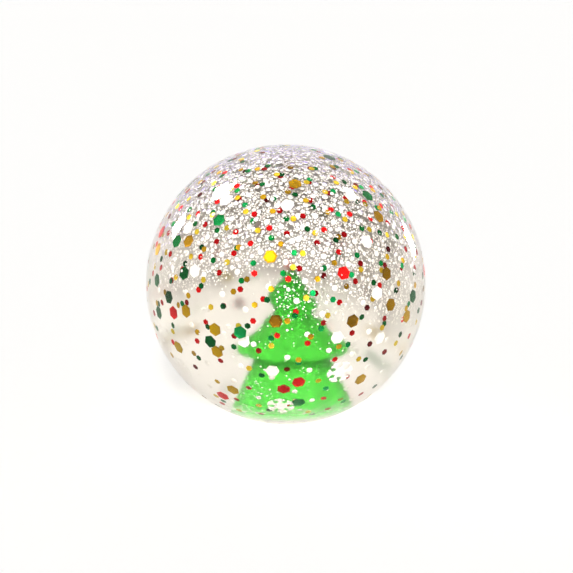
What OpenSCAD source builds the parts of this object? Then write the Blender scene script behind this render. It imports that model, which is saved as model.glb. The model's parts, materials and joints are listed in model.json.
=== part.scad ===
// Clear squishy ball that stands on the flat made by its own weight. A soft skin holds liquid and
// loose glitter, a snap-in plug closes the hole that it was filled through, and the plug carries
// a small soft tree on a stem. Millimetres, +Z up. The origin is on the surface that the ball
// stands on, under its middle, and the front is at -Y.

/* [Ball] */
// Outside diameter of the clear skin
ball_d = 70; // [66:1:84]
// Thickness of the clear skin
skin_t = 2.4; // [1.6:0.1:3]
// Diameter of the flat that the soft ball settles on
flat_d = 15; // [14:0.5:20]

/* [Fill hole and plug] */
// How far the hole, with the plug and the tree, sits to the right of the ball's middle
hole_side = 1.2; // [0:0.1:1.4]
// Diameter of the hole through the collar
hole_d = 6.4; // [5.6:0.2:7.2]
// Diameter of the thick collar round the hole, at its top
collar_d = 13; // [12:0.5:15]
// Height of the collar's top above the surface that the ball stands on
collar_h = 4.4; // [3.8:0.2:5]
// Width of the slope that blends the collar into the skin
collar_slope = 2; // [1:0.5:3]
// Diameter of the plug's head, which closes the hole from outside
head_d = 9.6; // [8.6:0.2:11]
// Thickness of the plug's head
head_t = 1.2; // [0.8:0.1:1.6]
// How far the head sits above the surface that the ball stands on
head_recess = 0.3; // [0.2:0.1:0.6]
// Diameter of the plug's barb, which hooks over the collar
barb_d = 9; // [8.2:0.2:10]
// Height of the plug's barb
barb_h = 2.2; // [1.8:0.1:3]
// Gap between the plug and the hole, all round
plug_fit = 0.05; // [0.03:0.01:0.12]

/* [Stem] */
// Diameter of the stem's two pins
stem_d = 3; // [2.4:0.1:3.6]
// Diameter of the stem's soft neck, where the tree sways
neck_d = 2.2; // [1.6:0.1:2.3]
// Free height of the neck between the plug and the tree
neck_h = 1.2; // [1:0.1:2]
// Depth of the stem's pin in the plug
stem_grip = 3; // [2:0.5:3.5]
// Depth of the stem's pin in the tree
stem_reach = 8; // [5:0.5:10]
// Gap between the stem and its sockets, all round
stem_fit = 0.05; // [0.03:0.01:0.1]

/* [Tree] */
// Radius of the low tier's hem
low_hem_r = 12.2; // [10:0.1:12.6]
// Radius of the tree above the low tier
low_waist_r = 5.8; // [5:0.1:7]
// Height of the low tier
low_h = 15.4; // [13:0.1:17]
// Radius of the middle tier's hem
mid_hem_r = 9.9; // [9:0.1:11]
// How far the tips of the middle tier flare out beyond the slope above them
mid_flare = 0.6; // [0:0.1:1.5]
// Radius of the neck above the middle tier
mid_waist_r = 2.9; // [2.8:0.1:3.6]
// Height of the middle tier
mid_h = 7; // [6:0.1:9]
// Short upper branches round the middle tier
upper_branches = 5; // [3:2:7]
// How far the upper branches stand out
upper_reach = 1.6; // [0:0.1:1.8]
// Height of the bare neck between the middle and the top tier
top_neck = 1.4; // [1.4:0.1:2.2]
// Radius of the top tier's hem
top_hem_r = 4.5; // [4:0.1:5]
// Height of the top tier up to the tip
top_h = 7; // [6:0.1:9]
// How far the top tier's hem slants down to the right, and up to the left
top_slant = 0.9; // [0:0.1:1.2]
// Radius of the tree's blunt tip
tip_r = 0.5; // [0.4:0.1:0.8]
// How far the middle tier's hem hangs below the waist under it
hem_drop = 1; // [0.6:0.1:1.4]
// Radius of the rounded edge of a hem
hem_round = 1.2; // [0.8:0.1:1.4]
// Branches round each tier
branches = 8; // [6:1:10]
// Depth of the notch between two branches at the hem
notch = 1.3; // [0.6:0.1:1.6]
// How far the middle of the underside is raised
dish = 0.8; // [0.4:0.1:1.2]

/* [Glitter] */
// Size of a big flake across its flats
hex_size = 2.8; // [2.4:0.1:3.4]
// Size of a small flake across its flats
dot_size = 1.3; // [1:0.1:1.6]
// Diameter of a small white disc
disc_d = 1.35; // [1:0.05:1.6]
// Span of a snowflake from tip to tip
snow_span = 6.4; // [5:0.2:7]
// Width of a snowflake's arms
snow_arm = 0.9; // [0.7:0.1:1.2]
// Length of the two barbs on each of a snowflake's arms
snow_barb = 1.3; // [0.8:0.1:1.6]
// Width of those barbs
snow_barb_w = 0.6; // [0.4:0.1:0.8]
// Thickness of the foil that the flakes are cut from
foil_t = 0.1; // [0.06:0.01:0.16]
// Most that a flake tips away from lying flat against the skin, in degrees
foil_tip = 2; // [1:0.5:4]
// Gap between neighbouring layers of flakes, and between them and the skin
foil_gap = 0.08; // [0.05:0.01:0.12]
// Gap between the liquid and what it surrounds
liquid_gap = 0.3; // [0.2:0.05:0.5]
// Big flakes of each colour, all round the ball
hex_count = 20; // [12:2:28]
// Small gold flakes above the bottom
gold_count = 216; // [48:4:260]
// Small green flakes above the bottom
green_count = 176; // [48:4:260]
// Small red flakes above the bottom
red_count = 228; // [48:4:260]
// Small flakes of each colour that have settled at the bottom, besides those above
settled_count = 18; // [8:2:28]
// White discs that drift below the crown
drift_count = 168; // [48:4:180]
// White discs under the crown
crown_count = 150; // [60:5:155]

/* [Hidden] */
$fn = 96;
disc_fn = 24;

// Ball
ball_r = ball_d / 2;
inner_r = ball_r - skin_t;
ball_z = sqrt(pow(ball_r, 2) - pow(flat_d / 2, 2));

// Heights along the middle of the ball
head_top = head_recess + head_t;
plug_top = collar_h + barb_h;
tree_base = plug_top + neck_h;
low_hem_z = tree_base - dish;
mid_hem_z = low_hem_z + low_h - hem_drop;
top_hem_z = mid_hem_z + mid_h + top_neck;
tree_top = top_hem_z + top_h;

// Tree: rings from the low hem to the tip, each [radius, height, share of the branch wave, turn,
// share of the upper branches, slope to the right]
hem_steps = 4;
skirt_steps = 5;
steps_per_branch = 8;
around = branches * steps_per_branch;
branch_turn = 180 / branches;
hem_start_angle = -80;
hem_end_angle = 40;
hem_low_share = 0.6;
low_bow = 1.05;
mid_bow = 1;
top_bow = 0.95;
flare_power = 6;
upper_at = 0.8;
upper_spread = 0.3;
top_slope = top_slant / top_hem_r;

function mix(a, b, t) = a + (b - a) * t;

// The rounded edge of a hem
function hem_rings(hem_r, hem_z, turn, slope) = [
    for (i = [0 : hem_steps - 1])
        let (angle = mix(hem_start_angle, hem_end_angle, i / (hem_steps - 1)))
        [
            hem_r - hem_round + hem_round * cos(angle),
            hem_z + hem_round + hem_round * sin(angle),
            mix(hem_low_share, 1, i / (hem_steps - 1)),
            turn,
            0,
            slope
        ]
];

// The skirt from the edge of a hem up to the waist above it; a bow over 1 makes it belly out
function skirt_rings(hem_r, hem_z, waist_r, waist_z, bow, flare, turn, upper, slope) =
    let (
        from_r = hem_r - hem_round + hem_round * cos(hem_end_angle),
        from_z = hem_z + hem_round + hem_round * sin(hem_end_angle)
    )
    [
        for (i = [1 : skirt_steps])
            let (t = i / skirt_steps)
            [
                mix(from_r - flare, waist_r, pow(t, bow)) + flare * pow(1 - t, flare_power),
                mix(from_z, waist_z, t),
                pow(1 - t, 2),
                turn,
                upper * max(0, 1 - abs(t - upper_at) / upper_spread),
                slope
            ]
    ];

function tier(hem_r, hem_z, waist_r, waist_z, bow, flare, turn, upper, slope) = concat(
    hem_rings(hem_r, hem_z, turn, slope),
    skirt_rings(hem_r, hem_z, waist_r, waist_z, bow, flare, turn, upper, slope)
);

tree_rings = concat(
    tier(low_hem_r, low_hem_z, low_waist_r, low_hem_z + low_h, low_bow, 0, branch_turn, 0, 0),
    tier(mid_hem_r, mid_hem_z, mid_waist_r, mid_hem_z + mid_h, mid_bow, mid_flare, 0, 1, 0),
    tier(top_hem_r, top_hem_z, tip_r, tree_top, top_bow, 0, 0, 0, top_slope)
);

// A branch is full at its middle, where it also lifts a little, and notched at its sides
function branch_wave(ring, angle) = abs(cos(branches * (angle - ring[3]) / 2)) - 1;

// An upper branch is a rounded bulge; one of them points straight to the right
function upper_bulge(ring, angle) = upper_reach * ring[4] * (1 + cos(upper_branches * angle)) / 2;

function ring_point(ring, angle) =
    let (
        wave = notch * ring[2] * branch_wave(ring, angle) * min(1, ring[0] / mid_hem_r),
        r = ring[0] + wave + upper_bulge(ring, angle)
    )
    [r * cos(angle), r * sin(angle), ring[1] + wave / 2 - ring[5] * r * cos(angle)];

tree_points = concat(
    [[0, 0, tree_base]],
    [for (ring = tree_rings, i = [0 : around - 1]) ring_point(ring, 360 * i / around)],
    [[0, 0, tree_top + tip_r]]
);
tree_tip = len(tree_points) - 1;

function ring_start(ring) = 1 + ring * around;

tree_faces = concat(
    [for (i = [0 : around - 1]) [0, 1 + i, 1 + (i + 1) % around]],
    [
        for (ring = [0 : len(tree_rings) - 2], i = [0 : around - 1], half = [0, 1])
            let (
                a = ring_start(ring) + i,
                b = ring_start(ring) + (i + 1) % around,
                c = b + around,
                d = a + around
            )
            half == 0 ? [a, c, b] : [a, d, c]
    ],
    [
        for (i = [0 : around - 1])
            let (last = ring_start(len(tree_rings) - 1))
            [tree_tip, last + (i + 1) % around, last + i]
    ]
);

// Glitter: each kind of flake has its own layer under the skin, so that kinds can cross freely.
// A layer is deep enough for a flake that lies flat on the round skin and tips a little.
hex_d = hex_size / cos(30);
dot_d = dot_size / cos(30);
hex_kinds = 4;
dot_kinds = 5;

function layer_t(d) = foil_t + d * sin(foil_tip) + pow(d / 2, 2) / inner_r + foil_gap;

// Radius at which the flakes of a layer are centred, counted inwards from the skin
function hex_r(layer) = inner_r - (layer + 0.5) * layer_t(hex_d) - foil_gap;
snow_r = hex_r(hex_kinds - 0.5) - layer_t(snow_span) / 2;
small_d = max(dot_d, disc_d);
function dot_r(layer) = snow_r - layer_t(snow_span) / 2 - (layer + 0.5) * layer_t(small_d);
liquid_r = dot_r(dot_kinds - 0.5) - liquid_gap;

golden_angle = 137.508;
jitter_angle = 2;
lowest_angle = -56;
highest_angle = 78;
settled_low_angle = -58;
settled_high_angle = -42;
loose_low_angle = -37;
crown_low_angle = 36;
crown_high_angle = 82;
front_angle = 75;
far_angle = 35;
far_top_angle = 25;
hex_rise = 0.8;
dot_rise = 0.65;
even_rise = 0.9;

// Places on the skin are [turn from the front, height over the middle], in degrees.
// The big flakes that show at the front:
gold_front = [
    [-4, 2], [-30, -4], [-45, 1], [-30, -14], [28, 0], [48, 3], [48, 16], [58, 39],
    [-7, 28], [-52, 29], [38, -30], [-27, -34], [-53, -17], [60, -5], [8, 62]
];
green_front = [
    [-61, 27], [-57, 4], [-33, -10], [66, 2], [-69, 8], [7, -41], [-66, -5], [63, 49],
    [-39, 41], [-49, 16], [-19, -4]
];
red_front = [[-54, -2], [26, 20], [6, -28], [-1, -32], [-37, -41]];
white_front = [
    [-6, -22], [50, 52], [-44, 51], [1, 52], [-59, 34], [-44, 18], [43, 31], [44, -11],
    [22, -7], [-18, -8], [42, 9]
];
snow_front = [[-3, -46], [26, -25], [140, 64], [-60, -30], [120, 20], [170, -20], [215, 45], [260, 5]];

// A spiral of places between two heights; rise under 1 crowds them upwards
function spiral(count, low, high, rise, seed) =
    let (
        start = rands(0, 360, 1, seed)[0],
        shift = rands(-jitter_angle, jitter_angle, 2 * count, seed + 1)
    )
    [
        for (i = [0 : count - 1])
            let (level = mix(sin(low), sin(high), pow((i + 0.5) / count, rise)))
            [(start + i * golden_angle + shift[2 * i]) % 360, asin(level) + shift[2 * i + 1]]
    ];

// The places of a spiral that lie at the sides and behind, where no flake was placed by hand.
// The far side behind the tree stays clear.
function behind(places) = [
    for (place = places)
        if (place[0] > front_angle && place[0] < 360 - front_angle)
            if (abs(place[0] - 180) > far_angle || place[1] > far_top_angle) place
];

module on_skin(places, r, seed) {
    spins = rands(0, 360, len(places), seed);
    tips = rands(0, foil_tip, len(places), seed + 1);
    for (i = [0 : len(places) - 1])
        translate([0, 0, ball_z])
            rotate([90 - places[i][1], 0, places[i][0]])
                translate([0, 0, r])
                    rotate([tips[i], 0, spins[i]])
                        children();
}

module hex_flake() cylinder(d = hex_d, h = foil_t, center = true, $fn = 6);

module dot_flake() cylinder(d = dot_d, h = foil_t, center = true, $fn = 6);

module white_disc() cylinder(d = disc_d, h = foil_t, center = true, $fn = disc_fn);

module snow_flake() {
    linear_extrude(foil_t, center = true)
        union() {
            circle(d = snow_span / 2, $fn = 6);
            for (turn = [0 : 60 : 120])
                rotate(turn) square([snow_span, snow_arm], center = true);
            for (turn = [0 : 60 : 300], side = [-60, 60])
                rotate(turn)
                    translate([snow_span / 3, 0])
                        rotate(side)
                            translate([0, -snow_barb_w / 2]) square([snow_barb, snow_barb_w]);
        }
}

// One arc of the ball in half section, right of its middle
module half_disc(r) {
    intersection() {
        translate([0, ball_z]) circle(r);
        translate([0, ball_z - r]) square([r, 2 * r]);
    }
}

// Everything on the hole's own axis
module at_hole() translate([hole_side, 0, 0]) children();

module skin_wall() {
    rotate_extrude()
        difference() {
            half_disc(ball_r);
            half_disc(inner_r);
            translate([0, -ball_r]) square([ball_r, ball_r]);
        }
}

// The collar reaches down into the middle of the skin wall
module collar() {
    intersection() {
        translate([0, 0, ball_z]) sphere(inner_r + skin_t / 2);
        at_hole()
            rotate_extrude()
                polygon([
                    [0, 0], [collar_d / 2 + collar_slope, 0],
                    [collar_d / 2 + collar_slope, collar_h - collar_slope],
                    [collar_d / 2, collar_h], [0, collar_h]
                ]);
    }
}

module clear_skin() {
    color([0.96, 0.95, 0.92, 0.25])
        difference() {
            union() {
                skin_wall();
                collar();
            }
            at_hole() translate([0, 0, -skin_t]) cylinder(d = hole_d, h = collar_h + 2 * skin_t);
            at_hole()
                translate([0, 0, -skin_t]) cylinder(r = head_d / 2 + plug_fit, h = head_top + skin_t);
        }
}

module fill_plug() {
    color([0.9, 0.9, 0.86])
        at_hole()
            rotate_extrude()
                difference() {
                    polygon([
                        [0, head_recess], [head_d / 2, head_recess], [head_d / 2, head_top],
                        [hole_d / 2 - plug_fit, head_top], [hole_d / 2 - plug_fit, collar_h],
                        [barb_d / 2, collar_h], [barb_d / 2, collar_h + barb_h / 4],
                        [hole_d / 2, plug_top], [0, plug_top]
                    ]);
                    translate([0, plug_top - stem_grip - stem_fit])
                        square([stem_d / 2 + stem_fit, stem_grip + barb_h]);
                }
}

module tree_stem() {
    color([0.3, 0.72, 0.26])
        at_hole()
            rotate_extrude()
                polygon([
                    [0, plug_top - stem_grip], [stem_d / 2, plug_top - stem_grip],
                    [stem_d / 2, plug_top], [neck_d / 2, plug_top + neck_h / 4],
                    [neck_d / 2, tree_base - neck_h / 4], [stem_d / 2, tree_base],
                    [stem_d / 2, tree_base + stem_reach], [0, tree_base + stem_reach]
                ]);
}

module tree_figure() {
    color([0.34, 0.84, 0.28])
        at_hole()
            difference() {
                polyhedron(tree_points, tree_faces);
                translate([0, 0, tree_base - dish])
                    cylinder(r = stem_d / 2 + stem_fit, h = dish + stem_reach + stem_fit);
            }
}

// The room that the tree needs in the liquid
top_room_r = max(top_hem_r, mid_waist_r + upper_reach) + liquid_gap;

module tree_room() {
    rotate_extrude()
        polygon([
            [0, 0], [low_hem_r + liquid_gap, 0],
            [low_hem_r + liquid_gap, low_hem_z + hem_round],
            [mid_hem_r + liquid_gap, mid_hem_z - liquid_gap],
            [mid_hem_r + liquid_gap, mid_hem_z + 2 * hem_round],
            [top_room_r, mid_hem_z + mid_h],
            [top_room_r, top_hem_z + 2 * hem_round + top_slant],
            [tip_r + liquid_gap, tree_top + tip_r + liquid_gap],
            [0, tree_top + tip_r + liquid_gap]
        ]);
}

module liquid_fill() {
    color([0.97, 0.96, 0.93, 0.3])
        difference() {
            rotate_extrude() half_disc(liquid_r);
            at_hole() tree_room();
        }
}

// A kind of flake in its own layer, whose number also seeds its scatter
module hexes(front, layer) {
    places = concat(front, behind(spiral(hex_count, lowest_angle, highest_angle, hex_rise, layer)));
    on_skin(places, hex_r(layer), layer) hex_flake();
}

module colour_dots(count, layer) {
    seed = hex_kinds + layer;
    loose = spiral(count, loose_low_angle, highest_angle, dot_rise, seed);
    settled = spiral(settled_count, settled_low_angle, settled_high_angle, even_rise, seed);
    on_skin(concat(loose, settled), dot_r(layer), seed) dot_flake();
}

module white_discs(count, low, high, layer) {
    seed = hex_kinds + layer;
    on_skin(spiral(count, low, high, even_rise, seed), dot_r(layer), seed) white_disc();
}

module gold_hexes() color([0.82, 0.64, 0.1]) hexes(gold_front, 0);

module green_hexes() color([0, 0.42, 0.1]) hexes(green_front, 1);

module red_hexes() color([0.78, 0.02, 0.02]) hexes(red_front, 2);

module white_hexes() color([0.97, 0.97, 0.95]) hexes(white_front, 3);

module snowflakes() color([0.98, 0.98, 0.96]) on_skin(snow_front, snow_r, 0) snow_flake();

module gold_dots() color([0.92, 0.79, 0.15]) colour_dots(gold_count, 0);

module green_dots() color([0, 0.45, 0.14]) colour_dots(green_count, 1);

module red_dots() color([0.84, 0.04, 0.05]) colour_dots(red_count, 2);

module white_dots() color([0.96, 0.96, 0.94]) white_discs(drift_count, lowest_angle, crown_low_angle, 3);

module crown_snow() color([0.98, 0.98, 0.98]) white_discs(crown_count, crown_low_angle, crown_high_angle, 4);

clear_skin();
fill_plug();
tree_stem();
tree_figure();
liquid_fill();
gold_hexes();
green_hexes();
red_hexes();
white_hexes();
snowflakes();
gold_dots();
green_dots();
red_dots();
white_dots();
crown_snow();
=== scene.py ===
# %% [markdown]
# # A clear squishy ball with a tree inside
# This lesson dresses a small novelty toy: a soft clear ball, full of liquid and loose glitter, with
# a lime-green moulded tree standing inside it. Its construction is already made at real size and
# comes in as a fixed frame. Nothing here moves or resizes that frame: each new piece is made where
# the frame says and rides on one of its bodies.

# %% Load the frame
import json
import math

import bmesh
import bpy
import numpy as np
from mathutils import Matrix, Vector


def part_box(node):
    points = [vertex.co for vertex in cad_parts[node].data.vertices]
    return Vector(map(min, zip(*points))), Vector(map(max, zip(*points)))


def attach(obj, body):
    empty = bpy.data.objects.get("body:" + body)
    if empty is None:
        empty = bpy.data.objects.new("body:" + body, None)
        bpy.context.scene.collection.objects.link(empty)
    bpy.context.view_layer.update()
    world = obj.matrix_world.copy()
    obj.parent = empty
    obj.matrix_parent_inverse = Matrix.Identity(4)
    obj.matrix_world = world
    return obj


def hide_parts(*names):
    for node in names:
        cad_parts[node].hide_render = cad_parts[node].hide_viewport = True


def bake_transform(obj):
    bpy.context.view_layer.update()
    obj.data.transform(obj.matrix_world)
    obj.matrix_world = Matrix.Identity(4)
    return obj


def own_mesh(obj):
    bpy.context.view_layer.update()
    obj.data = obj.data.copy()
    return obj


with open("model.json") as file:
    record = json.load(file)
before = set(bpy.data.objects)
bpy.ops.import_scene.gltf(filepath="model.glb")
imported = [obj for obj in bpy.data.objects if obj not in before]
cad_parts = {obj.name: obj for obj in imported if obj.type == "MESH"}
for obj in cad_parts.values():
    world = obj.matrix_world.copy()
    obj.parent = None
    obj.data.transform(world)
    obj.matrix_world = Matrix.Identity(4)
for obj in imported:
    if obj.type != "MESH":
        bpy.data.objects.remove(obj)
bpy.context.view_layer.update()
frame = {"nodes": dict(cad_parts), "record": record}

print("nodes:", ", ".join(frame["nodes"]))

# %% [markdown]
# ## Sizes
# A few driving sizes come straight from the frame, so the looks follow the construction if that
# changes. What the frame can't tell, such as the thickness of the skin, is written here in real
# millimetres.

# %% Take the sizes from the frame
MM = 0.001
skin_low, skin_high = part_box("clear_skin")
BALL_R = (skin_high.x - skin_low.x) / 2
BALL_TOP = skin_high.z
BALL_MIDDLE = Vector((0, 0, BALL_TOP - BALL_R))
SKIN_T = 2.4 * MM
INNER_R = BALL_R - SKIN_T
LIQUID_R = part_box("liquid_fill")[1].z - BALL_MIDDLE.z
plug_low, plug_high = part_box("fill_plug")
stem_low, stem_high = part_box("tree_stem")
HOLE_X = (plug_low.x + plug_high.x) / 2

# %% [markdown]
# ## Camera
# The picture looks a little down on the ball from the front, through a long lens. The distance
# isn't guessed: a ball of known size that fills a known number of pixels can be at one distance
# only. A tiny lens shift then puts it where it stands in the picture.

# %% Camera
PHOTO_PX = 573
BALL_PX_X = 285.8
BALL_PX_Y = 284.2
BALL_PX_R = 140.1
LENS_MM = 100
SENSOR_MM = 36
LOOK_DOWN = math.radians(17)

focal_px = LENS_MM / SENSOR_MM * PHOTO_PX
camera_distance = BALL_R / math.sin(math.atan(BALL_PX_R / focal_px))
towards_camera = Vector((0, -math.cos(LOOK_DOWN), math.sin(LOOK_DOWN)))

bpy.ops.object.select_all(action="DESELECT")
bpy.ops.object.camera_add(
    location=BALL_MIDDLE + camera_distance * towards_camera,
    rotation=(math.pi / 2 - LOOK_DOWN, 0, 0),
)
camera = bpy.context.object
camera.name = "camera"
camera.data.lens = LENS_MM
camera.data.sensor_width = SENSOR_MM
camera.data.shift_x = (PHOTO_PX / 2 - BALL_PX_X) / PHOTO_PX
camera.data.shift_y = (BALL_PX_Y - PHOTO_PX / 2) / PHOTO_PX
bpy.context.scene.camera = camera
bpy.context.scene.view_settings.view_transform = "Standard"
print(f"camera {camera_distance / MM:.0f} mm from the middle of the ball")

# %% [markdown]
# ## Nodes
# Every material below is a small graph of nodes. One function adds a node with its settings, its
# socket values and its links, so that a material reads as a list of what it is made of. Colours
# are written as sRGB hex codes, and one function turns them to the linear values that sockets take.

# %% Node tools
def to_linear(code):
    """Turn an sRGB hex code into a linear colour."""
    parts = [int(code[i:i + 2], 16) / 255 for i in (1, 3, 5)]
    return [c / 12.92 if c <= 0.04045 else ((c + 0.055) / 1.055) ** 2.4 for c in parts] + [1.0]


def add_node(tree, kind, inputs=None, **settings):
    """Add a node. Each input is a value to set, or another node's socket to link from."""
    made = tree.nodes.new(kind)
    for option, value in settings.items():
        setattr(made, option, value)
    for socket, value in (inputs or {}).items():
        if isinstance(value, bpy.types.NodeSocket):
            tree.links.new(value, made.inputs[socket])
        else:
            made.inputs[socket].default_value = value
    return made


def new_material(name):
    """Start a material with an empty graph."""
    material = bpy.data.materials.new(name)
    material.use_nodes = True
    material.node_tree.nodes.clear()
    return material, material.node_tree


def end_with(tree, shader):
    """Join the last shader to the material's output."""
    add_node(tree, "ShaderNodeOutputMaterial", {"Surface": shader})


def per_metre(size_mm):
    """The scale of a pattern on Object coordinates whose features are this many millimetres."""
    return 1 / (size_mm * MM)


# %% [markdown]
# ## Studio
# The toy was photographed in a white tent: pale floor, light from everywhere, and a soft lamp near
# the camera. The tent's walls and floor look pure white, but a white that bright would wash out
# the toy, so it has several levels, and the Light Path node tells them apart. What is seen straight
# or through the clear ball has strength 1, which is white. Light that reaches a surface by
# scattering has the plain level. In a mirror the back of the tent is white too, but its open front,
# where the camera stands, is dim. Without that, a white veil would lie on the clear skin.

# %% Light tent and floor
TENT_LEVEL = 0.32
FLOOR_SIZE = 8
FLOOR_DROP = 0.05 * MM
FLOOR_GLOW = 0.28
FRONT_SHARE = 0.2
TENT_FRONT, TENT_BACK = 0.45, 0.74
FLOOR_FRONT, FLOOR_BACK = 0.0, 0.1


def seen_straight(tree, in_mirror):
    """A factor of 1 on rays from the eye, less in a mirror, and 0 once they met a dull surface."""
    path = add_node(tree, "ShaderNodeLightPath")
    mirror = add_node(tree, "ShaderNodeMath", {
        0: path.outputs["Is Glossy Ray"], 1: in_mirror}, operation="MULTIPLY")
    eye = add_node(tree, "ShaderNodeMath", {
        0: path.outputs["Is Camera Ray"], 1: mirror.outputs[0]}, operation="MAXIMUM")
    eye = add_node(tree, "ShaderNodeMath", {
        0: eye.outputs[0], 1: path.outputs["Is Transmission Ray"]}, operation="MAXIMUM")
    clean = add_node(tree, "ShaderNodeMath", {
        0: path.outputs["Diffuse Depth"], 1: 0.5}, operation="LESS_THAN")
    both = add_node(tree, "ShaderNodeMath", {
        0: eye.outputs[0], 1: clean.outputs[0]}, operation="MULTIPLY")
    return both.outputs[0]


def mirror_share(tree, place, front, back):
    """How much of its white a place keeps in a mirror: little in front, all of it at the back."""
    apart = add_node(tree, "ShaderNodeSeparateXYZ", {0: place})
    share = add_node(tree, "ShaderNodeMapRange", {
        "Value": apart.outputs["Y"], "From Min": front, "From Max": back, "To Min": FRONT_SHARE})
    return share.outputs["Result"]


tent = bpy.data.worlds.new("light_tent")
tent.use_nodes = True
tent.node_tree.nodes.clear()
tree = tent.node_tree
place = add_node(tree, "ShaderNodeTexCoord")
share = mirror_share(tree, place.outputs["Generated"], TENT_FRONT, TENT_BACK)
level = add_node(tree, "ShaderNodeMapRange", {
    "Value": seen_straight(tree, share), "To Min": TENT_LEVEL, "To Max": 1.0})
walls = add_node(tree, "ShaderNodeBackground", {
    "Color": to_linear("#FFFFFF"), "Strength": level.outputs["Result"]})
add_node(tree, "ShaderNodeOutputWorld", {"Surface": walls.outputs[0]})
tent.cycles.sampling_method = "NONE"
bpy.context.scene.world = tent

paper, tree = new_material("white_backdrop_paper")
dull = add_node(tree, "ShaderNodeBsdfDiffuse", {"Color": to_linear("#F4F3F1")})
place = add_node(tree, "ShaderNodeTexCoord")
share = mirror_share(tree, place.outputs["Object"], FLOOR_FRONT, FLOOR_BACK)
lift = add_node(tree, "ShaderNodeMath", {
    0: seen_straight(tree, share), 1: FLOOR_GLOW}, operation="MULTIPLY")
glow = add_node(tree, "ShaderNodeEmission", {"Color": to_linear("#FFFFFF"), "Strength": lift.outputs[0]})
both = add_node(tree, "ShaderNodeAddShader", {0: dull.outputs[0], 1: glow.outputs[0]})
end_with(tree, both.outputs[0])

bpy.ops.object.select_all(action="DESELECT")
bpy.ops.mesh.primitive_plane_add(size=FLOOR_SIZE, location=(0, 0, -FLOOR_DROP))
floor = bpy.context.object
floor.name = "floor"
floor.data.materials.append(paper)
print("floor and tent made")

# %% [markdown]
# ## Lamps
# Two broad soft lamps stand by the camera: a high one, and a low one for what faces down, such as
# the flakes under the tree. Their shadows fall straight behind the ball, where the ball hides them.
# Four small cards, two high at the back and one at each side, are there for gloss only, as the white
# glints on the skin, so they are switched off for dull surfaces.

# %% Lamps
LAMPS = {"high_lamp": (3, 44, 1.9, 10), "low_lamp": (2, 8, 1.2, 20)}
GLOSS_CARDS = {
    "high_card_left": (-0.56, 0.40, 0.73, 0.11), "high_card_right": (0.56, 0.40, 0.73, 0.06),
    "side_card_left": (-0.80, 0.52, 0.30, 0.09), "side_card_right": (0.70, 0.71, 0.04, 0.09),
}
CARD_GLOW = 100
CARD_REACH = 0.5


def lamp_direction(turn, rise):
    """Unit vector towards a lamp at a turn from the front and a rise over the floor."""
    return Vector((math.sin(turn) * math.cos(rise), -math.cos(turn) * math.cos(rise), math.sin(rise)))


for name, (turn, rise, strength, softness) in LAMPS.items():
    towards_lamp = lamp_direction(math.radians(turn), math.radians(rise))
    bpy.ops.object.light_add(type="SUN", location=BALL_MIDDLE + towards_lamp)
    lamp = bpy.context.object
    lamp.name = name
    lamp.rotation_euler = towards_lamp.to_track_quat("Z", "Y").to_euler()
    lamp.data.energy = strength
    lamp.data.angle = math.radians(softness)
    lamp.data.cycles.use_multiple_importance_sampling = False

for name, (side, back, rise, size) in GLOSS_CARDS.items():
    towards_card = Vector((side, back, rise)).normalized()
    bpy.ops.object.light_add(type="AREA", location=BALL_MIDDLE + CARD_REACH * towards_card)
    card = bpy.context.object
    card.name = name
    card.rotation_euler = towards_card.to_track_quat("Z", "Y").to_euler()
    card.data.size = size
    card.data.energy = CARD_GLOW * size ** 2
    card.visible_camera = False
    card.visible_diffuse = False
    card.visible_transmission = False
print("lamps:", ", ".join(LAMPS), "and cards:", ", ".join(GLOSS_CARDS))

# %% [markdown]
# ## Clear rubber and liquid
# The skin is moulded from a clear, soft thermoplastic rubber gel with an IOR of 1.42, and the
# filling is close to water, 1.33. Light bends a lot where air meets rubber and only a little where
# rubber meets liquid, so the outer and the inner wall have a material each, and the inner one has
# the ratio of the two. The rubber isn't optically flat: slow waves a few millimetres long bend what
# is behind. Where it is thick, at the foot, it turns milky, so there it transmits less. Lamps reach
# the inside because shadow rays pass through with a slight loss.

# %% Clear materials
RUBBER_IOR = 1.42
LIQUID_IOR = 1.33
WET_IOR = RUBBER_IOR / LIQUID_IOR
WAVE_HEIGHT = 0.04 * MM
MILKY_TOP = 9 * MM
MILKY_FOOT = 0.9


def let_lamps_through(tree, shader, tint):
    """Finish a clear material so that shadow rays go through it, tinted."""
    path = add_node(tree, "ShaderNodeLightPath")
    through = add_node(tree, "ShaderNodeBsdfTransparent", {"Color": to_linear(tint)})
    either = add_node(tree, "ShaderNodeMixShader", {
        0: path.outputs["Is Shadow Ray"], 1: shader, 2: through.outputs[0]})
    end_with(tree, either.outputs[0])


def by_height(tree, start, end, at_start, at_end):
    """A factor that goes from one value to another between two heights on the piece."""
    place = add_node(tree, "ShaderNodeTexCoord")
    apart = add_node(tree, "ShaderNodeSeparateXYZ", {0: place.outputs["Object"]})
    factor = add_node(tree, "ShaderNodeMapRange", {
        "Value": apart.outputs["Z"], "From Min": start, "From Max": end,
        "To Min": at_start, "To Max": at_end})
    return factor.outputs["Result"]


def clear_rubber(name, ior, roughness, wave_mm):
    """Clear moulded rubber: glassy, faintly warm, wavy from the mould and milky at the foot."""
    material, tree = new_material(name)
    place = add_node(tree, "ShaderNodeTexCoord")
    waves = add_node(tree, "ShaderNodeTexNoise", {
        "Vector": place.outputs["Object"], "Scale": per_metre(wave_mm), "Detail": 1.0})
    bump = add_node(tree, "ShaderNodeBump", {
        "Height": waves.outputs[0], "Strength": 1.0, "Distance": WAVE_HEIGHT})
    body = add_node(tree, "ShaderNodeBsdfPrincipled", {
        "Base Color": to_linear("#FEFAF3"), "Roughness": roughness, "IOR": ior,
        "Transmission Weight": by_height(tree, 0.0, MILKY_TOP, 1 - MILKY_FOOT, 1.0),
        "Specular Tint": to_linear("#BCBCBC"), "Normal": bump.outputs[0]})
    let_lamps_through(tree, body.outputs[0], "#FCFBFA")
    return material


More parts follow.
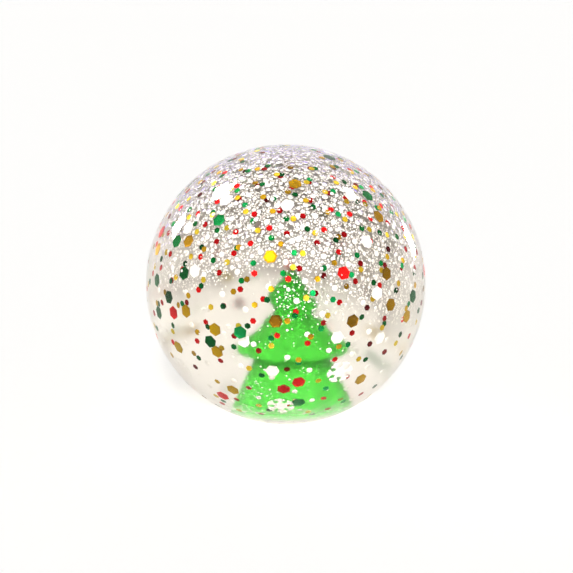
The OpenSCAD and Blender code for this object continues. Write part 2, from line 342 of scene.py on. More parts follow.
outer_rubber = clear_rubber("clear_tpr_outer_wall", RUBBER_IOR, roughness=0.02, wave_mm=14)
inner_rubber = clear_rubber("clear_tpr_inner_wall", WET_IOR, roughness=0.015, wave_mm=9)
print("clear rubber:", outer_rubber.name, inner_rubber.name)

# %% [markdown]
# ## Clear skin
# The skin is one soft moulding: a ball 2.4 mm thick, flat where it rests, with a thick collar round
# the hole that it was filled through. It could be a sphere with Solidify, but that gives no collar
# and no hole. Here two spheres are cut flat with Bisect, the flats are inset and pushed up to make
# the recess and the collar, and Bridge joins the two walls through the hole.

# %% Edit tools
BALL_SEGMENTS = 192
BALL_RINGS = 96
FLAT = 0.01 * MM


def pick_only(piece):
    """Make this the one selected and active object."""
    bpy.ops.object.select_all(action="DESELECT")
    piece.select_set(True)
    bpy.context.view_layer.objects.active = piece


def ball_of(name, radius):
    """Add a ball about the middle, with its place in its mesh."""
    bpy.ops.object.select_all(action="DESELECT")
    bpy.ops.mesh.primitive_uv_sphere_add(
        segments=BALL_SEGMENTS, ring_count=BALL_RINGS, radius=radius, location=BALL_MIDDLE)
    bpy.ops.object.transform_apply(location=True, rotation=True, scale=True)
    ball = bpy.context.object
    ball.name = name
    return ball


def cut_foot(height):
    """In edit mode, cut everything off below a height and close the cut."""
    bpy.ops.mesh.select_all(action="SELECT")
    bpy.ops.mesh.bisect(
        plane_co=(0, 0, height), plane_no=(0, 0, 1), use_fill=True, clear_inner=True)


def pick_flat_face(piece, height):
    """In edit mode, select the flat face of many corners at a height, and give its radius."""
    bpy.ops.mesh.select_mode(type="FACE")
    bpy.ops.mesh.select_all(action="DESELECT")
    mesh = bmesh.from_edit_mesh(piece.data)
    radius = 0
    for face in mesh.faces:
        middle = face.calc_center_median()
        if abs(middle.z - height) < FLAT and len(face.verts) == BALL_SEGMENTS:
            face.select_set(True)
            radius = max((vert.co - middle).length for vert in face.verts)
    bmesh.update_edit_mesh(piece.data)
    return radius


def pick_rim(piece, height):
    """In edit mode, select the edges that lie at a height."""
    bpy.ops.mesh.select_mode(type="EDGE")
    bpy.ops.mesh.select_all(action="DESELECT")
    mesh = bmesh.from_edit_mesh(piece.data)
    for edge in mesh.edges:
        edge.select_set(all(abs(vert.co.z - height) < FLAT for vert in edge.verts))
    bmesh.update_edit_mesh(piece.data)


def draw_in(piece, height, radius, lift=0.0, aside=0.0):
    """In edit mode, inset the flat face at a height to a radius, then move it up and aside."""
    wide = pick_flat_face(piece, height)
    bpy.ops.mesh.inset(thickness=wide - radius)
    bpy.ops.transform.translate(value=(aside, 0, lift))


def push_up(piece, height, lift):
    """In edit mode, extrude the flat face at a height straight up."""
    pick_flat_face(piece, height)
    bpy.ops.mesh.extrude_region_move(TRANSFORM_OT_translate={"value": (0, 0, lift)})


# %% Clear skin
FOOT_ROUND = 0.8 * MM
RECESS_R = 4.85 * MM
RECESS_H = 1.5 * MM
HOLE_R = 3.2 * MM
COLLAR_R = 6.5 * MM
COLLAR_H = 4.4 * MM
COLLAR_FOOT = 2.6 * MM
SMOOTH_ANGLE = math.radians(35)

skin = ball_of("skin_moulding", BALL_R)
bpy.ops.object.mode_set(mode="EDIT")
cut_foot(0)
pick_rim(skin, 0)
bpy.ops.mesh.bevel(offset=FOOT_ROUND, segments=4, affect="EDGES")
draw_in(skin, 0, RECESS_R, aside=HOLE_X)
push_up(skin, 0, RECESS_H)
draw_in(skin, RECESS_H, HOLE_R)
bpy.ops.mesh.delete(type="ONLY_FACE")
bpy.ops.object.mode_set(mode="OBJECT")

inner_wall = ball_of("inner_wall", INNER_R)
bpy.ops.object.mode_set(mode="EDIT")
cut_foot(COLLAR_FOOT)
draw_in(inner_wall, COLLAR_FOOT, COLLAR_R, lift=COLLAR_H - COLLAR_FOOT, aside=HOLE_X)
draw_in(inner_wall, COLLAR_H, HOLE_R)
bpy.ops.mesh.delete(type="ONLY_FACE")
bpy.ops.object.mode_set(mode="OBJECT")

pick_only(skin)
inner_wall.select_set(True)
bpy.ops.object.join()
bpy.ops.object.mode_set(mode="EDIT")
bpy.ops.mesh.select_mode(type="EDGE")
bpy.ops.mesh.select_all(action="DESELECT")
bpy.ops.mesh.select_non_manifold()
bpy.ops.mesh.bridge_edge_loops()
bpy.ops.mesh.select_all(action="SELECT")
bpy.ops.mesh.normals_make_consistent(inside=False)
bpy.ops.object.mode_set(mode="OBJECT")
bpy.ops.object.shade_smooth_by_angle(angle=SMOOTH_ANGLE)

skin.data.materials.append(outer_rubber)
skin.data.materials.append(inner_rubber)
for face in skin.data.polygons:
    face.material_index = int((face.center - BALL_MIDDLE).length < INNER_R + SKIN_T / 4)
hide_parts("clear_skin")
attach(skin, "ball")
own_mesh(skin)
print(f"skin: {len(skin.data.polygons)} faces")

# %% [markdown]
# ## Plug and stem
# Under the ball a soft plug snaps into the hole, and a thin stem on it carries the tree. Both are
# turned shapes, so one helper makes them: a disc is added at the foot, and its face is extruded and
# resized step by step, as on a lathe, also back down into a socket. Bevel then softens the edges
# as a mould does. Plug, stem and tree share one rubber. Its folds, found by an Ambient Occlusion
# node, get painted shade, and it is darker towards one end, which on the tree is painted shade in
# the top tier. The grain of such rubber is too fine to show here, so it is drawn coarser, 0.6 to
# 0.8 mm wide.

# %% Turned pieces
TURNED_SEGMENTS = 48


def turned(name, steps):
    """Make a turned piece: a disc carried through steps of (radius, height), in metres."""
    bpy.ops.object.select_all(action="DESELECT")
    first_r, first_z = steps[0]
    bpy.ops.mesh.primitive_circle_add(
        vertices=TURNED_SEGMENTS, radius=first_r, fill_type="NGON",
        location=(HOLE_X, 0, first_z))
    bpy.ops.object.transform_apply(location=True, rotation=True, scale=True)
    piece = bpy.context.object
    piece.name = name
    bpy.ops.object.mode_set(mode="EDIT")
    bpy.ops.mesh.select_all(action="SELECT")
    for (last_r, last_z), (radius, height) in zip(steps, steps[1:]):
        bpy.ops.mesh.extrude_region_move(TRANSFORM_OT_translate={"value": (0, 0, height - last_z)})
        share = radius / last_r
        bpy.ops.transform.resize(value=(share, share, 1), center_override=(HOLE_X, 0, height))
    bpy.ops.mesh.select_all(action="SELECT")
    bpy.ops.mesh.normals_make_consistent(inside=False)
    bpy.ops.object.mode_set(mode="OBJECT")
    return piece


def soften(piece, width, segments=2):
    """Round the sharp edges of a piece and shade it smooth."""
    pick_only(piece)
    bevel = piece.modifiers.new("soft_edges", "BEVEL")
    bevel.width = width
    bevel.segments = segments
    bevel.limit_method = "ANGLE"
    bpy.ops.object.modifier_apply(modifier=bevel.name)
    bpy.ops.object.shade_smooth_by_angle(angle=SMOOTH_ANGLE)


# %% Soft rubber
# How far and how closed a fold is for its painted shade.
FOLD_SHADE_REACH = 3 * MM
FOLD_SHADE_CLOSED, FOLD_SHADE_OPEN = 0.3, 0.75
BLOOM_MM = 6
CLOUDINESS = 0.3


def soft_rubber(name, fold_shade, dark, light, shade_from, shade_to, grain_mm):
    """Moulded soft rubber: satin, finely grained, darker between two heights, with painted shade in
    folds.
    """
    material, tree = new_material(name)
    place = add_node(tree, "ShaderNodeTexCoord")
    # Darker between the two heights; on the tree this is painted shade towards the top tier.
    low = by_height(tree, shade_to, shade_from, 0.0, 1 - CLOUDINESS)
    cloud = add_node(tree, "ShaderNodeTexNoise", {
        "Vector": place.outputs["Object"], "Scale": per_metre(BLOOM_MM), "Detail": 3.0})
    tint = add_node(tree, "ShaderNodeMath", {
        0: cloud.outputs[0], 1: CLOUDINESS, 2: low}, operation="MULTIPLY_ADD")
    mottle_and_height_shade = add_node(tree, "ShaderNodeMix", {
        0: tint.outputs[0], 6: to_linear(dark), 7: to_linear(light)}, data_type="RGBA")
    # Painted shade: an Ambient Occlusion node blends in the fold colour where the rubber folds.
    openness = add_node(tree, "ShaderNodeAmbientOcclusion", {
        "Distance": FOLD_SHADE_REACH}, only_local=True, samples=8)
    lit = add_node(tree, "ShaderNodeMapRange", {
        "Value": openness.outputs["AO"], "From Min": FOLD_SHADE_CLOSED, "From Max": FOLD_SHADE_OPEN})
    shade = add_node(tree, "ShaderNodeMix", {
        0: lit.outputs["Result"], 6: to_linear(fold_shade), 7: mottle_and_height_shade.outputs[2]}, data_type="RGBA")
    grain = add_node(tree, "ShaderNodeTexNoise", {
        "Vector": place.outputs["Object"], "Scale": per_metre(grain_mm), "Detail": 4.0})
    bump = add_node(tree, "ShaderNodeBump", {
        "Height": grain.outputs[0], "Strength": 0.4, "Distance": 0.1 * MM})
    body = add_node(tree, "ShaderNodeBsdfPrincipled", {
        "Base Color": shade.outputs[2], "Roughness": 0.5, "IOR": WET_IOR,
        "Subsurface Weight": 0.25, "Subsurface Radius": (0.8, 1.0, 0.5), "Subsurface Scale": 2 * MM,
        "Normal": bump.outputs[0]})
    end_with(tree, body.outputs[0])
    return material


# %% Plug and stem
PLUG_LOW = plug_low.z
PLUG_TOP = plug_high.z
HEAD_R = (plug_high.x - plug_low.x) / 2
SHANK_R = 3.15 * MM
BARB_R = 4.5 * MM
BARB_LIP = 0.55 * MM
SOCKET_R = 1.55 * MM
SOCKET_GAP = 0.05 * MM
PLUG_EDGE = 0.15 * MM
STEM_EDGE = 0.12 * MM
GRAIN_MM = 0.6
STEM_LOW = stem_low.z
STEM_TOP = stem_high.z
STEM_R = (stem_high.x - stem_low.x) / 2
NECK_R = 1.1 * MM
NECK_H = 1.2 * MM
TREE_BASE = PLUG_TOP + NECK_H

plug = turned("plug_moulding", [
    (HEAD_R, PLUG_LOW), (HEAD_R, RECESS_H), (SHANK_R, RECESS_H), (SHANK_R, COLLAR_H),
    (BARB_R, COLLAR_H), (BARB_R, COLLAR_H + BARB_LIP), (HOLE_R, PLUG_TOP),
    (SOCKET_R, PLUG_TOP), (SOCKET_R, STEM_LOW - SOCKET_GAP)])
soften(plug, PLUG_EDGE)
# The first colour is the painted shade in the folds.
plug.data.materials.append(soft_rubber(
    "milky_tpr_plug", "#C8C6B8", "#DAD8CC", "#F0EEE4", PLUG_LOW, PLUG_TOP, GRAIN_MM))
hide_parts("fill_plug")
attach(plug, "ball")

stem = turned("stem_moulding", [
    (STEM_R, STEM_LOW), (STEM_R, PLUG_TOP), (NECK_R, PLUG_TOP + NECK_H / 4),
    (NECK_R, TREE_BASE - NECK_H / 4), (STEM_R, TREE_BASE), (STEM_R, STEM_TOP)])
soften(stem, STEM_EDGE)
# The first colour is the painted shade in the folds.
stem.data.materials.append(soft_rubber(
    "lime_tpr_stem", "#2C8E24", "#46B03C", "#5CC850", STEM_LOW, STEM_TOP, GRAIN_MM))
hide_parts("tree_stem")
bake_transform(stem)
print(f"plug: {len(plug.data.polygons)} faces, stem: {len(stem.data.polygons)} faces")

# %% [markdown]
# ## Tree
# The tree is a soft lime-green moulding with three tiers of drooping branches. The frame's own solid
# has the right shape but flat facets. A copy of its mesh is merged, subdivided and relaxed, which
# keeps the tiers and turns the facets into the soft, rounded surface of moulded rubber. Painted
# shade makes its green deeper under the hems and in the top tier.

# %% Tree
def copy_of(node, name):
    """Copy a frame node's mesh into a new piece, with its loose triangles merged."""
    piece = bpy.data.objects.new(name, frame["nodes"][node].data.copy())
    bpy.context.scene.collection.objects.link(piece)
    piece.data.materials.clear()
    pick_only(piece)
    bpy.ops.object.mode_set(mode="EDIT")
    bpy.ops.mesh.select_all(action="SELECT")
    bpy.ops.mesh.remove_doubles(threshold=FLAT)
    bpy.ops.object.mode_set(mode="OBJECT")
    return piece


# Painted shade: the tree's green darkens between these heights, towards the top tier.
SHADE_FROM = 27 * MM
SHADE_TO = 33 * MM
TREE_GRAIN_MM = 0.8
RELAX_TIMES = 3

tree_piece = copy_of("tree_figure", "tree_moulding")
finer = tree_piece.modifiers.new("finer", "SUBSURF")
finer.levels = 1
finer.render_levels = 1
bpy.ops.object.modifier_apply(modifier=finer.name)
relax = tree_piece.modifiers.new("relax", "SMOOTH")
relax.factor = 0.5
relax.iterations = RELAX_TIMES
bpy.ops.object.modifier_apply(modifier=relax.name)
bpy.ops.object.shade_smooth()
# Its fold colour and its dark green are painted shade, under the hems and in the top tier.
tree_piece.data.materials.append(soft_rubber(
    "lime_tpr_tree", "#046204", "#2CB424", "#50D042", SHADE_FROM, SHADE_TO, TREE_GRAIN_MM))
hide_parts("tree_figure")
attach(tree_piece, "tree")
print(f"tree: {len(tree_piece.data.polygons)} faces")

# %% [markdown]
# ## Liquid
# The filling is a water-like liquid, a little cloudy, so the tree and the far flakes look softer
# than the near ones. The glitter lies in the outermost millimetres, so the liquid's own piece is
# the core inside it: a ball whose foot is pushed up step by step into a hollow round the tree. Its
# outside carries the haze, as a rough boundary of nearly no bending, and painted shade: a grey that
# darkens what is seen through the top and ends at an arch in front of the tree. The painted shade
# is thinner towards the rim, by the facing of the surface. The hollow has an IOR of 1, because
# liquid that wets the tree shows no boundary there.

# %% Liquid core
CORE_FOOT = 9.2 * MM
RIM_W = 0.3 * MM
HOLLOW_MM = [(12.4, 10.6), (10.3, 21.1), (10.3, 23.9), (5.3, 28.9), (5.3, 34.0), (1.2, 37.8)]
# Painted shade in the liquid: where its border lies, how it arches, leans, fades and wavers.
PAINTED_SHADE_LINE = -4 * MM
PAINTED_SHADE_ARCH = 17 * MM
PAINTED_SHADE_LEAN = 0.15
PAINTED_SHADE_FADE = 5 * MM
PAINTED_SHADE_STIR = 5 * MM
STIR_MM = 8
ARCH_POWER = 4.0
THIN_FROM, THIN_TO = 0.25, 0.6
THIN_SHARE = 0.2
HAZE_IOR = 1.06
HAZE_ROUGHNESS = 0.4


def hazy_liquid_and_painted_shade(name):
    """Liquid made hazy by a rough boundary, with painted shade that darkens it towards the top."""
    material, tree = new_material(name)
    place = add_node(tree, "ShaderNodeTexCoord")
    apart = add_node(tree, "ShaderNodeSeparateXYZ", {0: place.outputs["Object"]})
    # Painted shade: a grey over the top, with a stirred border that arches up in front of the tree.
    stir = add_node(tree, "ShaderNodeTexNoise", {
        "Vector": place.outputs["Object"], "Scale": per_metre(STIR_MM), "Detail": 2.0})
    lift = add_node(tree, "ShaderNodeMapRange", {
        "Value": stir.outputs[0], "To Min": -PAINTED_SHADE_STIR, "To Max": PAINTED_SHADE_STIR})
    front = add_node(tree, "ShaderNodeMapRange", {
        "Value": apart.outputs["Y"], "From Min": 0.0, "From Max": -LIQUID_R})
    bend = add_node(tree, "ShaderNodeMath", {
        0: front.outputs["Result"], 1: ARCH_POWER}, operation="POWER")
    arch = add_node(tree, "ShaderNodeMath", {
        0: bend.outputs[0], 1: PAINTED_SHADE_ARCH, 2: lift.outputs["Result"]}, operation="MULTIPLY_ADD")
    border = add_node(tree, "ShaderNodeMath", {
        0: apart.outputs["X"], 1: -PAINTED_SHADE_LEAN, 2: arch.outputs[0]}, operation="MULTIPLY_ADD")
    height = add_node(tree, "ShaderNodeMath", {
        0: apart.outputs["Z"], 1: border.outputs[0]}, operation="SUBTRACT")
    cloud = add_node(tree, "ShaderNodeMapRange", {
        "Value": height.outputs[0], "From Min": BALL_MIDDLE.z + PAINTED_SHADE_LINE - PAINTED_SHADE_FADE,
        "From Max": BALL_MIDDLE.z + PAINTED_SHADE_LINE + PAINTED_SHADE_FADE}, interpolation_type="SMOOTHSTEP")
    # The painted shade thins towards the rim, by the Layer Weight facing.
    slant = add_node(tree, "ShaderNodeLayerWeight", {"Blend": 0.5})
    way = add_node(tree, "ShaderNodeMapRange", {
        "Value": slant.outputs["Facing"], "From Min": THIN_FROM, "From Max": THIN_TO,
        "To Min": 1.0, "To Max": THIN_SHARE})
    dim = add_node(tree, "ShaderNodeMath", {
        0: cloud.outputs["Result"], 1: way.outputs["Result"]}, operation="MULTIPLY")
    # 9E9A99 is the grey of the painted shade.
    shade = add_node(tree, "ShaderNodeMix", {
        0: dim.outputs[0], 6: to_linear("#FFFFFF"), 7: to_linear("#9E9A99")}, data_type="RGBA")
    body = add_node(tree, "ShaderNodeBsdfPrincipled", {
        "Base Color": shade.outputs[2], "Roughness": HAZE_ROUGHNESS, "IOR": HAZE_IOR,
        "Transmission Weight": 1.0})
    let_lamps_through(tree, body.outputs[0], "#DEDCD8")
    return material


def still_liquid(name):
    """Liquid that wets the tree: no boundary to see."""
    material, tree = new_material(name)
    body = add_node(tree, "ShaderNodeBsdfPrincipled", {
        "Base Color": to_linear("#FFFFFF"), "Roughness": 0.0, "IOR": 1.0, "Transmission Weight": 1.0})
    let_lamps_through(tree, body.outputs[0], "#FFFFFF")
    return material


core = ball_of("liquid_core", LIQUID_R)
bpy.ops.object.mode_set(mode="EDIT")
cut_foot(CORE_FOOT)
hollow_r = HOLLOW_MM[0][0] * MM
draw_in(core, CORE_FOOT, hollow_r, aside=HOLE_X)
hollow_z = CORE_FOOT
for radius_mm, height_mm in HOLLOW_MM:
    bpy.ops.mesh.extrude_region_move(
        TRANSFORM_OT_translate={"value": (0, 0, height_mm * MM - hollow_z)})
    share = radius_mm * MM / hollow_r
    bpy.ops.transform.resize(value=(share, share, 1), center_override=(HOLE_X, 0, height_mm * MM))
    hollow_r = radius_mm * MM
    hollow_z = height_mm * MM
bpy.ops.mesh.select_all(action="SELECT")
bpy.ops.mesh.normals_make_consistent(inside=False)
bpy.ops.object.mode_set(mode="OBJECT")
bpy.ops.object.shade_smooth_by_angle(angle=SMOOTH_ANGLE)
core.data.materials.append(hazy_liquid_and_painted_shade("hazy_liquid_and_painted_shade"))
core.data.materials.append(still_liquid("liquid_on_tree"))
for face in core.data.polygons:
    face.material_index = int((face.center - BALL_MIDDLE).length < LIQUID_R - RIM_W)
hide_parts("liquid_fill")
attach(core, "glitter")
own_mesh(core)
print(f"liquid: {len(core.data.polygons)} faces")

# %% [markdown]
# ## Foil and film
# Glitter is cut from polyester film. The coloured flakes carry a thin layer of aluminium under a
# tinted lacquer, so they are metals of that colour, with a fine crinkle from cutting. The white
# flakes carry none: they are pearly and white, with a lavender painted sheen at a slant near the
# top. The big gold flakes have a deeper gold than the small ones. Each flake lies at its own angle,
# so each catches the room differently. A number stored on every flake, its tone, picks its colour
# between dark and bright: a random spread whose dark end is also painted shade, for flakes that
# mirror a dark part of the room.

# %% Foil materials
CRINKLE_MM = 0.7
# Facing at which the painted lavender sheen starts and is full.
PAINTED_SHEEN_FROM, PAINTED_SHEEN_FULL = 0.43, 0.53


def tone_and_painted_shade_ramp(tree, dark, middle, bright):
    """Colours from dark to bright, picked by each flake's own tone."""
    tone_and_painted_shade = add_node(tree, "ShaderNodeAttribute", attribute_name="tone_and_painted_shade")
    ramp = add_node(tree, "ShaderNodeValToRGB", {"Fac": tone_and_painted_shade.outputs["Fac"]})
    ramp.color_ramp.elements.new(0.5)
    for stop, code in zip(ramp.color_ramp.elements, (dark, middle, bright)):
        stop.color = to_linear(code)
    return ramp.outputs["Color"]


def foil(name, dark, middle, bright):
    """Tinted metal foil with a fine crinkle."""
    material, tree = new_material(name)
    place = add_node(tree, "ShaderNodeTexCoord")
    crinkle = add_node(tree, "ShaderNodeTexNoise", {
        "Vector": place.outputs["Object"], "Scale": per_metre(CRINKLE_MM), "Detail": 2.0})
    bump = add_node(tree, "ShaderNodeBump", {
        "Height": crinkle.outputs[0], "Strength": 0.5, "Distance": 0.05 * MM})
    body = add_node(tree, "ShaderNodeBsdfPrincipled", {
        "Base Color": tone_and_painted_shade_ramp(tree, dark, middle, bright), "Metallic": 1.0, "Roughness": 0.44,
        "Normal": bump.outputs[0]})
    end_with(tree, body.outputs[0])
    return material


def pearl_film(name):
    """White pearly film: white square on, with a lavender painted sheen at a slant near the top."""
    material, tree = new_material(name)
    # Painted sheen: lavender mixed into the white by Layer Weight facing, on flakes above the middle.
    slant = add_node(tree, "ShaderNodeLayerWeight", {"Blend": 0.5})
    painted_sheen = add_node(tree, "ShaderNodeMapRange", {
        "Value": slant.outputs["Facing"], "From Min": PAINTED_SHEEN_FROM, "From Max": PAINTED_SHEEN_FULL})
    high = by_height(tree, BALL_MIDDLE.z, BALL_MIDDLE.z + BALL_R / 2, 0.0, 1.0)
    both = add_node(tree, "ShaderNodeMath", {
        0: painted_sheen.outputs["Result"], 1: high}, operation="MULTIPLY")
    shade = add_node(tree, "ShaderNodeMix", {
        0: both.outputs[0], 6: tone_and_painted_shade_ramp(tree, "#EEECEA", "#FAFAF8", "#FFFFFF"),
        7: to_linear("#A490F8")}, data_type="RGBA")
    body = add_node(tree, "ShaderNodeBsdfPrincipled", {
        "Base Color": shade.outputs[2], "Roughness": 0.3, "IOR": 1.64})
    end_with(tree, body.outputs[0])
    return material


# The dark end of each foil is painted shade, for flakes that mirror a dark part of the room.
gold_foil = foil("gold_foil", "#603E04", "#C49E18", "#D8C43C")
deep_gold_foil = foil("deep_gold_foil", "#603E04", "#B8900E", "#B89C14")
green_foil = foil("green_foil", "#013418", "#01662A", "#10A058")
red_foil = foil("red_foil", "#3A0206", "#AC060C", "#E41A18")
pearl = pearl_film("pearl_film")
print("foils:", gold_foil.name, deep_gold_foil.name, green_foil.name, red_foil.name, pearl.name)

# %% [markdown]
# ## One flake, many copies
# A flake is modelled once: a six-sided disc is inset, its middle is pushed in a little so that it
# cups as cut film does, and Solidify gives it its thickness. The round white discs are made the same
# way with more sides, and the specks of snow are rounded grains, pressed flat. Each is then copied
# to every place where the frame has a flake. The frame's flakes lie flat under the skin; real ones
# tip a little, so each copy is tipped by its own amount and moved inwards as far as its raised edge
# needs.

# %% Master flakes
FLAKE_RIM = 0.3


def flake_master(name, sides, thickness, cup):
    """Model a flake whose corners are 1 from its middle, facing up."""
    bpy.ops.object.select_all(action="DESELECT")
    bpy.ops.mesh.primitive_circle_add(vertices=sides, radius=1, fill_type="NGON")
    master = bpy.context.object
    master.name = name
    bpy.ops.object.mode_set(mode="EDIT")
    bpy.ops.mesh.select_all(action="SELECT")
    bpy.ops.mesh.inset(thickness=FLAKE_RIM)
    bpy.ops.transform.translate(value=(0, 0, -cup))
    bpy.ops.object.mode_set(mode="OBJECT")
    solid = master.modifiers.new("film", "SOLIDIFY")
    solid.thickness = thickness
    solid.offset = 0
    bpy.ops.object.modifier_apply(modifier=solid.name)
    return master


def grain_master(name, height):
    """Model a speck of snow: a rounded grain, pressed flat."""
    bpy.ops.object.select_all(action="DESELECT")
    bpy.ops.mesh.primitive_ico_sphere_add(subdivisions=1, radius=1)
    master = bpy.context.object
    master.name = name
    bpy.ops.object.mode_set(mode="EDIT")
    bpy.ops.mesh.select_all(action="SELECT")
    bpy.ops.transform.resize(value=(1, 1, height))
    bpy.ops.object.mode_set(mode="OBJECT")
    return master


def take_shape(master):
    """Take a master's points and faces, then remove it from the scene."""
    points = np.array([vert.co[:] for vert in master.data.vertices])
    faces = [list(face.vertices) for face in master.data.polygons]
    mesh = master.data
    bpy.data.objects.remove(master)
    bpy.data.meshes.remove(mesh)
    return points, faces


big_flake = take_shape(flake_master("big_flake", sides=6, thickness=0.06, cup=0.06))
small_flake = take_shape(flake_master("small_flake", sides=6, thickness=0.11, cup=0.05))
white_disc = take_shape(flake_master("white_disc", sides=14, thickness=0.11, cup=-0.12))
speck = take_shape(grain_master("speck", height=0.25))
print(f"a flake has {len(big_flake[1])} faces, a disc {len(white_disc[1])}, a speck {len(speck[1])}")


# %% Places of the frame's flakes
def flake_places(node):
    """Middle, corner direction and size of each flake of a frame node."""
    work = bmesh.new()
    work.from_mesh(frame["nodes"][node].data)
    bmesh.ops.remove_doubles(work, verts=work.verts, dist=FLAT / 10)
    work.verts.ensure_lookup_table()
    seen = [False] * len(work.verts)
    found = []
    for start in work.verts:
        if seen[start.index]:
            continue
        seen[start.index] = True
        island = [start]
        for vert in island:
            for edge in vert.link_edges:
                other = edge.other_vert(vert)
                if not seen[other.index]:
                    seen[other.index] = True
                    island.append(other)
        found.append(np.array([vert.co[:] for vert in island]))
    work.free()
    middles = np.array([points.mean(axis=0) for points in found])
    reaches = [points - middle for points, middle in zip(found, middles)]
    corners = np.array([reach[np.argmax((reach ** 2).sum(axis=1))] for reach in reaches])
    return middles, corners, np.linalg.norm(corners, axis=1)


def unit(vectors):
    """Scale rows of vectors to length 1."""
    return vectors / np.linalg.norm(vectors, axis=1, keepdims=True)


def outward(middles):
    """Directions from the middle of the ball."""
    return unit(middles - np.array(BALL_MIDDLE))


# %% Stamp copies
def stamp(name, shape, middles, corners, sizes, tips, tones, rng):
    """Copy a flake shape to every place, tipped by its own angle, as one piece with tones."""
    points, faces = shape
    facing = outward(middles)
    across = unit(corners - (corners * facing).sum(axis=1, keepdims=True) * facing)
    along = np.cross(facing, across)
    turn = rng.uniform(0, 2 * math.pi, len(middles))[:, None]
    hinge = np.cos(turn) * across + np.sin(turn) * along
    tip = tips[:, None]

    def tipped(vectors):
        side = np.cross(hinge, vectors)
        along_hinge = (hinge * vectors).sum(axis=1, keepdims=True) * hinge
        return vectors * np.cos(tip) + side * np.sin(tip) + along_hinge * (1 - np.cos(tip))

    axes = np.stack((tipped(across), tipped(along), tipped(facing)), axis=1)
    seated = middles - facing * (sizes * np.abs(np.sin(tips)))[:, None]
    placed = seated[:, None, :] + sizes[:, None, None] * np.einsum("nk,mkj->mnj", points, axes)
    mesh = bpy.data.meshes.new(name)
    numbered = [[corner + copy * len(points) for corner in face]
                for copy in range(len(middles)) for face in faces]
    mesh.from_pydata(placed.reshape(-1, 3).tolist(), [], numbered)
    tone_and_painted_shade = mesh.attributes.new("tone_and_painted_shade", "FLOAT", "FACE")
    tone_and_painted_shade.data.foreach_set("value", np.repeat(tones, len(faces)).astype(np.float32))
    piece = bpy.data.objects.new(name, mesh)
    bpy.context.scene.collection.objects.link(piece)
    return piece


# %% [markdown]
# ## Glitter
# The flakes come in two cuts, 2.8 and 1.3 mm across their flats, in gold, green, red and pearl
# white. A seeded random generator picks each flake's tone and tip, so every run gives the same
# ball. Tones follow a Beta distribution, spread evenly or leaning to the bright side. Each kind has
# a seed of its own, and those of the big flakes are picked so that the ones in front get the shades
# of the picture. The pieces ride on the liquid, which swirls, and flatten with the ball when it is
# squeezed.

# %% Glitter
TIP_BIG = math.radians(7)
TIP_SMALL = math.radians(14)
EVEN = (1.3, 1.3)
BRIGHT = (2.0, 1.2)
VIVID = (4.0, 1.2)
GLITTER = {
    "gold_hexes": ("gold_big_flakes", big_flake, TIP_BIG, deep_gold_foil, "gold_foil", EVEN, 49849),
    "green_hexes": ("green_big_flakes", big_flake, TIP_BIG, green_foil, "green_foil", EVEN, 16870),
    "red_hexes": ("red_big_flakes", big_flake, TIP_BIG, red_foil, "red_foil", VIVID, 5942),
    "white_hexes": ("white_big_flakes", big_flake, TIP_BIG, pearl, "pearl_film", EVEN, 4),
    "gold_dots": ("gold_small_flakes", small_flake, TIP_SMALL, gold_foil, "gold_foil", BRIGHT, 5),
    "green_dots": ("green_small_flakes", small_flake, TIP_SMALL, green_foil, "green_foil", EVEN, 6),
    "red_dots": ("red_small_flakes", small_flake, TIP_SMALL, red_foil, "red_foil", EVEN, 7),
    "white_dots": ("white_discs", white_disc, TIP_SMALL, pearl, "pearl_film", EVEN, 8),
    "crown_snow": ("crown_discs", white_disc, TIP_SMALL, pearl, "pearl_film", EVEN, 9),
}


def seat(piece, material, body):
    """Give a glitter piece its finish and its body."""
    piece.data.materials.append(material)
    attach(piece, body)
    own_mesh(piece)


body_of = {node: body for body, nodes in frame["record"]["behaviour"]["bodies"].items() for node in nodes}
for node, (name, shape, most_tip, material, slot, spread, seed) in GLITTER.items():
    rng = np.random.default_rng(seed)
    middles, corners, sizes = flake_places(node)
    count = len(middles)
    tones = rng.beta(*spread, count)
    tips = np.clip(rng.normal(0, most_tip / 2, count), -most_tip, most_tip)
    piece = stamp(name, shape, middles, corners, sizes, tips, tones, rng)
    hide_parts(node)
    seat(piece, material, body_of[node])
    print(f"{name}: {count} flakes")

# %% [markdown]
# ## Snowflake sequins
# A few six-armed sequins float among the glitter. The frame has their outline, so its mesh is copied
# and merged, and a small bevel breaks the cut edges.

# %% Snowflakes
SEQUIN_EDGE = 0.05 * MM

sequins = copy_of("snowflakes", "snowflake_sequins")
soften(sequins, SEQUIN_EDGE, segments=1)
tone_and_painted_shade = sequins.data.attributes.new("tone_and_painted_shade", "FLOAT", "FACE")
tone_and_painted_shade.data.foreach_set("value", np.ones(len(sequins.data.polygons), np.float32))
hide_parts("snowflakes")
seat(sequins, pearl, "glitter")
print(f"sequins: {len(sequins.data.polygons)} faces")

# %% [markdown]
# ## Fine snow
# Most of the white in the picture is fine snow: round specks, 0.3 to 1.2 mm wide, that float up
# under the crown and end at an arch in front of the tree. They lie side by side like foam, with thin
# dark gaps. A particle system would let them overlap, so they are settled in code. Random places are
# kept by a chance that follows the arch, and then, largest first, only where there is room beside
# the white discs and the specks that are there already. A few also lie in thin patches in front of
# the tree and on the bottom. Lines, arches, fades and patches are given in degrees about the middle
# of the ball.

# %% Where the snow lies
SNOW_LINE = -2
SNOW_ARCH = 28
ARCH_STEEPNESS = 4
SNOW_LEAN = 9
SNOW_FADE = 9
SNOW_THIN = 0.3
SNOW_FULL = 50
STRAY_CHANCE = 0.003
SETTLED_LINE = -50
SETTLED_FADE = 8
SETTLED_SHARE = 0.15
SNOW_PATCHES = [(8, 12, 11, 0.07), (-18, -38, 8, 0.03), (36, 4, 10, 0.06)]


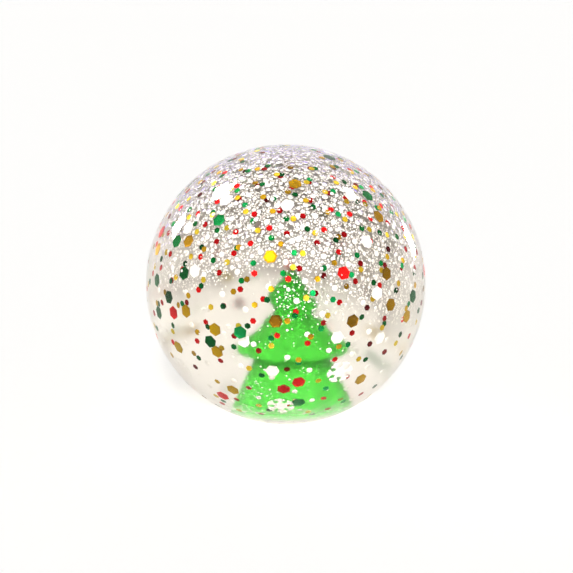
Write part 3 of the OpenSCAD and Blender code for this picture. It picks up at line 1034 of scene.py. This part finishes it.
def snow_chance(turns, heights):
    """How likely a speck stays at a turn from the front and a height over the middle, in radians."""
    across, up = np.degrees(turns), np.degrees(heights)
    arch = SNOW_ARCH * np.maximum(np.cos(turns), 0) ** ARCH_STEEPNESS
    border = SNOW_LINE + arch - SNOW_LEAN * np.sin(turns)
    depth = np.clip((up - border) / SNOW_FADE + 0.5, 0, 1)
    thick = SNOW_THIN + (1 - SNOW_THIN) * np.clip(up / SNOW_FULL, 0, 1) ** 2
    settled = SETTLED_SHARE * np.clip((SETTLED_LINE - up) / SETTLED_FADE, 0, 1)
    chance = np.maximum.reduce([thick * depth ** 2, settled, np.full(len(up), STRAY_CHANCE)])
    for turn, height, spread, share in SNOW_PATCHES:
        away = np.hypot((across - turn) * np.cos(heights), up - height) / spread
        chance = np.maximum(chance, share * np.exp(-away ** 2))
    return chance


# %% Settle the specks
PRESSED = 0.95


def settle(places, sizes, order):
    """Keep, in order, each round thing that finds room among those kept before, pressed a little."""
    cell = 2 * sizes.max()
    sizes = PRESSED * sizes
    cells = {}
    kept = np.zeros(len(places), bool)
    for index in order:
        here, size = places[index].tolist(), float(sizes[index])
        a, b, c = (int(value // cell) for value in here)
        beside = (
            other
            for i in (a - 1, a, a + 1) for j in (b - 1, b, b + 1) for k in (c - 1, c, c + 1)
            for other in cells.get((i, j, k), ()))
        if all(math.dist(here, place) > size + width for place, width in beside):
            kept[index] = True
            cells.setdefault((a, b, c), []).append((here, size))
    return kept


# %% Fine snow
SNOW_SEED = 77
SNOW_TRIES = 420000
LOWEST = math.radians(-60)
HIGHEST = math.radians(90)
SPECK_SIZE = 0.14 * MM
SPECK_POWER = 3.6
SPECK_MOST = 0.6 * MM
SPECK_TIP = math.radians(8)
SPECK_DEEP = LIQUID_R + 0.25 * MM
SPECK_SHALLOW = INNER_R - 0.6 * MM
SPECK_SINK = 9
FLURRIES = {
    "crown_flurry": ("crown", 54, 90), "shoulder_flurry": ("crown", 36, 54),
    "drift_flurry": ("glitter", 20, 36), "low_flurry": ("glitter", -60, 20),
}

rng = np.random.default_rng(SNOW_SEED)
turns = rng.uniform(-math.pi, math.pi, SNOW_TRIES)
heights = np.arcsin(rng.uniform(math.sin(LOWEST), math.sin(HIGHEST), SNOW_TRIES))
likely = rng.random(SNOW_TRIES) < snow_chance(turns, heights)
turns, heights = turns[likely], heights[likely]
count = len(turns)
sizes = np.minimum(SPECK_SIZE * rng.random(count) ** (-1 / SPECK_POWER), SPECK_MOST)
ways = np.stack((
    np.sin(turns) * np.cos(heights), -np.cos(turns) * np.cos(heights), np.sin(heights)), axis=1)

discs = [flake_places(node) for node in ("white_dots", "crown_snow")]
disc_ways = np.concatenate([outward(middles) for middles, corners, radii in discs])
disc_sizes = np.concatenate([radii for middles, corners, radii in discs])
all_sizes = np.concatenate((disc_sizes, sizes))
order = np.concatenate((np.arange(len(disc_sizes)), len(disc_sizes) + np.argsort(-sizes, kind="stable")))
kept = settle(LIQUID_R * np.concatenate((disc_ways, ways)), all_sizes, order)[len(disc_sizes):]

depths = SPECK_DEEP + (SPECK_SHALLOW - SPECK_DEEP) * rng.random(count) ** SPECK_SINK
middles = np.array(BALL_MIDDLE) + depths[:, None] * ways
corners = rng.normal(0, 1, (count, 3))
tips = np.clip(rng.normal(0, SPECK_TIP / 2, count), -SPECK_TIP, SPECK_TIP)
tones = rng.random(count)

for name, (body, low, high) in FLURRIES.items():
    part = kept & (heights >= math.radians(low)) & (heights < math.radians(high))
    piece = stamp(name, speck, middles[part], corners[part], sizes[part], tips[part], tones[part], rng)
    seat(piece, pearl, body)
    print(f"{name}: {int(part.sum())} specks")
